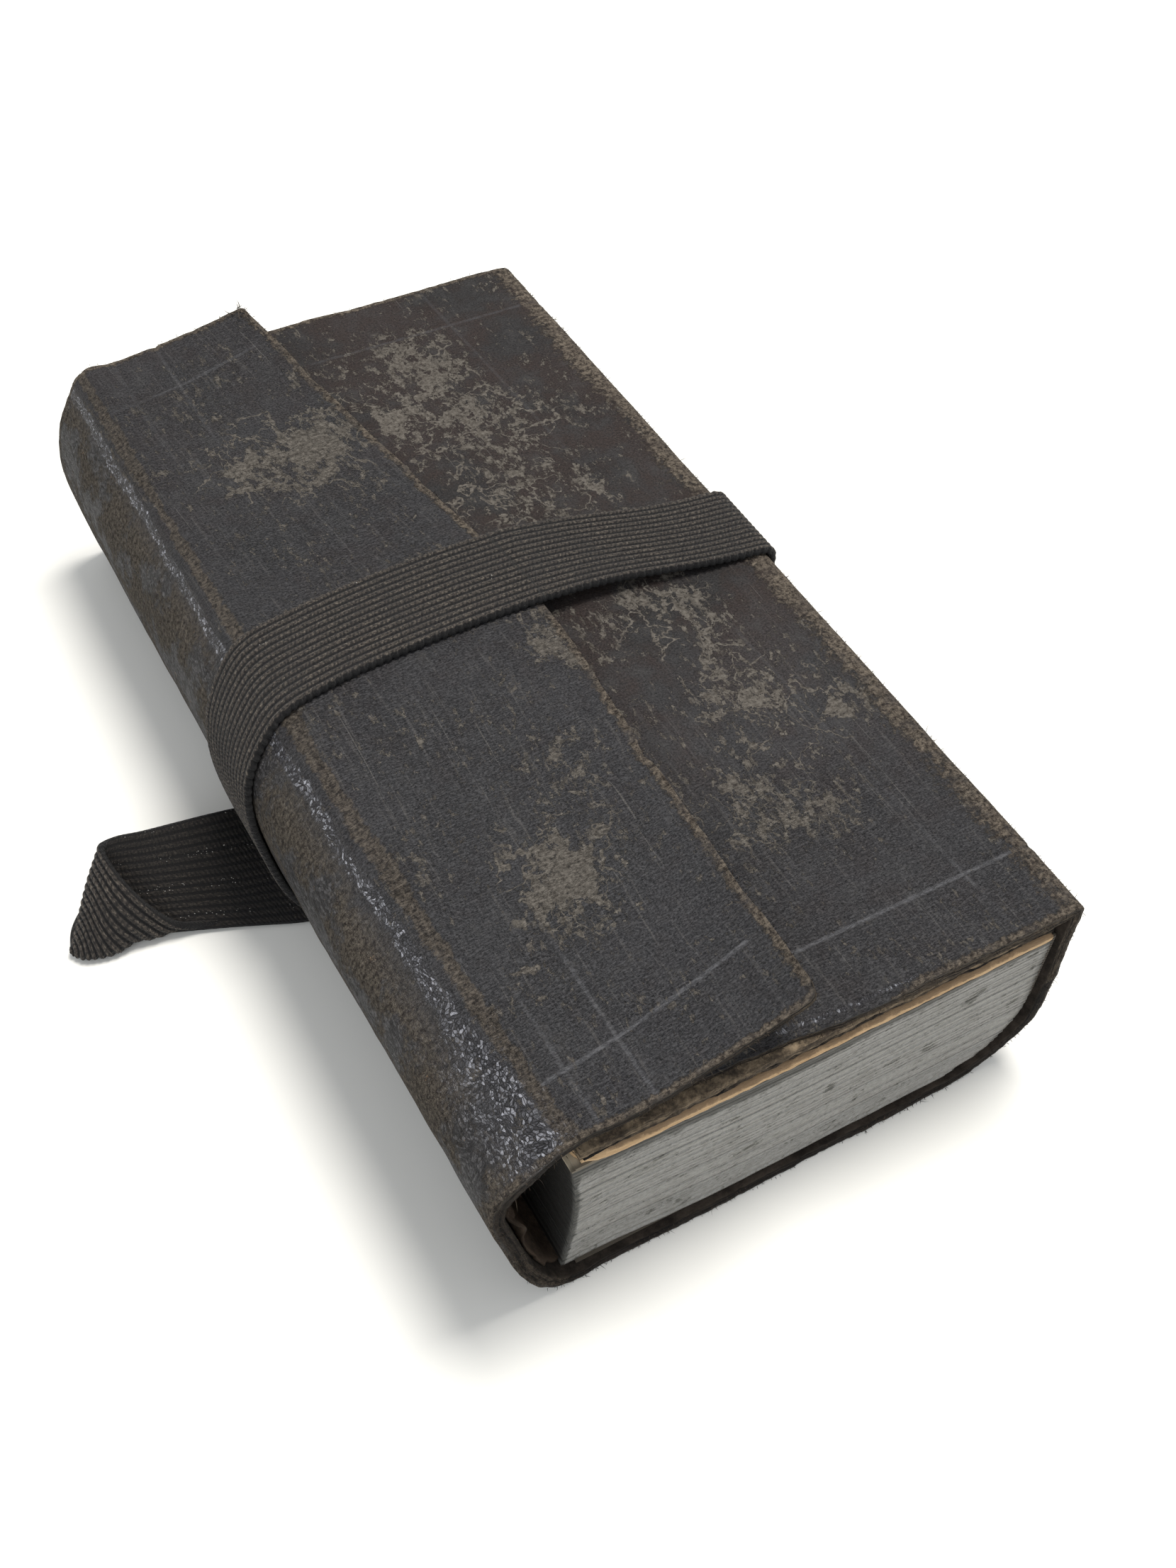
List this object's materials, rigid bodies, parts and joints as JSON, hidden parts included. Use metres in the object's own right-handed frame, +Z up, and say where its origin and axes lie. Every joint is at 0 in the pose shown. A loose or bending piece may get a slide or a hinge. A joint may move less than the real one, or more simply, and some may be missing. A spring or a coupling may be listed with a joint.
{
  "type": "prayer book",
  "caption": "Small thick sewn book in a worn leather wallet binding: a fore-edge wall and pointed flap close over the top cover, held by a wide elastic loop.",
  "frame": {"origin": "middle of the footprint, on the surface the closed book lies on", "axes": "+X from the fore edge towards the spine, +Y along the book's length from the near end to the far end, +Z up through the covers"},
  "size_m": [0.112, 0.155, 0.0452],
  "materials": {
    "leather": "near-black grained calf, rubbed to brown at the edges and scuffed in patches",
    "lining": "dull brown flesh side, worn",
    "cloth": "undyed open-weave linen",
    "thread": "waxed linen thread",
    "endpaper": "aged laid paper",
    "pages": "aged paper with grey-sprinkled edges",
    "grey_card": "grey pasteboard, frayed",
    "pasteboard": "pale tan pasteboard, torn at one corner",
    "elastic": "dark ribbed knitted elastic with pale rubber flecks"
  },
  "bodies": {
    "base": {"bottom_leather": "leather", "lower_fold": "leather", "spine_leather": "leather", "cover_joint_leather": "leather", "back_pastedown": "endpaper", "spine_lining": "cloth", "sewing_tapes": "cloth", "kettle_stitches": "thread", "gathering_04": "pages", "gathering_05": "pages", "gathering_06": "pages", "gathering_07": "pages", "gathering_08": "pages", "gathering_09": "pages", "gathering_10": "pages"},
    "cover": {"top_leather": "leather", "top_card": "grey_card", "leather_turn_in": "leather", "card_filler": "grey_card", "top_board": "pasteboard", "front_pastedown": "endpaper"},
    "flyleaf": {"front_flyleaf": "endpaper"},
    "gathering_a": {"gathering_01": "pages"},
    "gathering_b": {"gathering_02": "pages"},
    "gathering_c": {"gathering_03": "pages"},
    "wall": {"wall_leather": "leather", "wall_lining": "lining", "upper_fold": "leather"},
    "flap": {"flap_leather": "leather", "flap_lining": "lining"},
    "band": {"elastic_band": "elastic", "elastic_loop": "elastic"}
  },
  "joints": [
    {"name": "cover_hinge", "type": "hinge", "parent": "base", "child": "cover", "pos_m": [0.05375, 0, 0.03395], "axis": [0, 1, 0], "range_deg": [0, 205], "deforming": ["cover_joint_leather"]},
    {"name": "flyleaf_turn", "type": "hinge", "parent": "base", "child": "flyleaf", "pos_m": [0.05375, 0, 0.03395], "axis": [0, 1, 0], "range_deg": [0, 190]},
    {"name": "gathering_a_turn", "type": "hinge", "parent": "base", "child": "gathering_a", "pos_m": [0.05375, 0, 0.03395], "axis": [0, 1, 0], "range_deg": [0, 160]},
    {"name": "gathering_b_turn", "type": "hinge", "parent": "base", "child": "gathering_b", "pos_m": [0.05375, 0, 0.03395], "axis": [0, 1, 0], "range_deg": [0, 122]},
    {"name": "gathering_c_turn", "type": "hinge", "parent": "base", "child": "gathering_c", "pos_m": [0.05375, 0, 0.03395], "axis": [0, 1, 0], "range_deg": [0, 84]},
    {"name": "fore_edge_hinge", "type": "hinge", "parent": "base", "child": "wall", "pos_m": [-0.02326, 0, 0.00097], "axis": [0, -1, 0], "range_deg": [0, 72.5], "deforming": ["lower_fold"]},
    {"name": "flap_hinge", "type": "hinge", "parent": "wall", "child": "flap", "pos_m": [-0.03201, 0, 0.03473], "axis": [0, -1, 0], "range_deg": [0, 106], "deforming": ["upper_fold", "flap_leather", "flap_lining"]},
    {"name": "band_slide", "type": "slide", "parent": "base", "child": "band", "axis": [0, -1, 0], "range_m": [0, 0.105], "deforming": ["elastic_band", "elastic_loop"]}
  ],
  "couplings": [
    {"joint": "flyleaf_turn", "follows": "cover_hinge", "ratio": 0.92683},
    {"joint": "gathering_a_turn", "follows": "cover_hinge", "ratio": 0.78049},
    {"joint": "gathering_b_turn", "follows": "cover_hinge", "ratio": 0.59512},
    {"joint": "gathering_c_turn", "follows": "cover_hinge", "ratio": 0.40976},
    {"joint": "fore_edge_hinge", "follows": "cover_hinge", "ratio": 0.35366},
    {"joint": "flap_hinge", "follows": "cover_hinge", "ratio": 0.51707},
    {"joint": "band_slide", "follows": "cover_hinge", "m_per_rad": 0.029346}
  ]
}
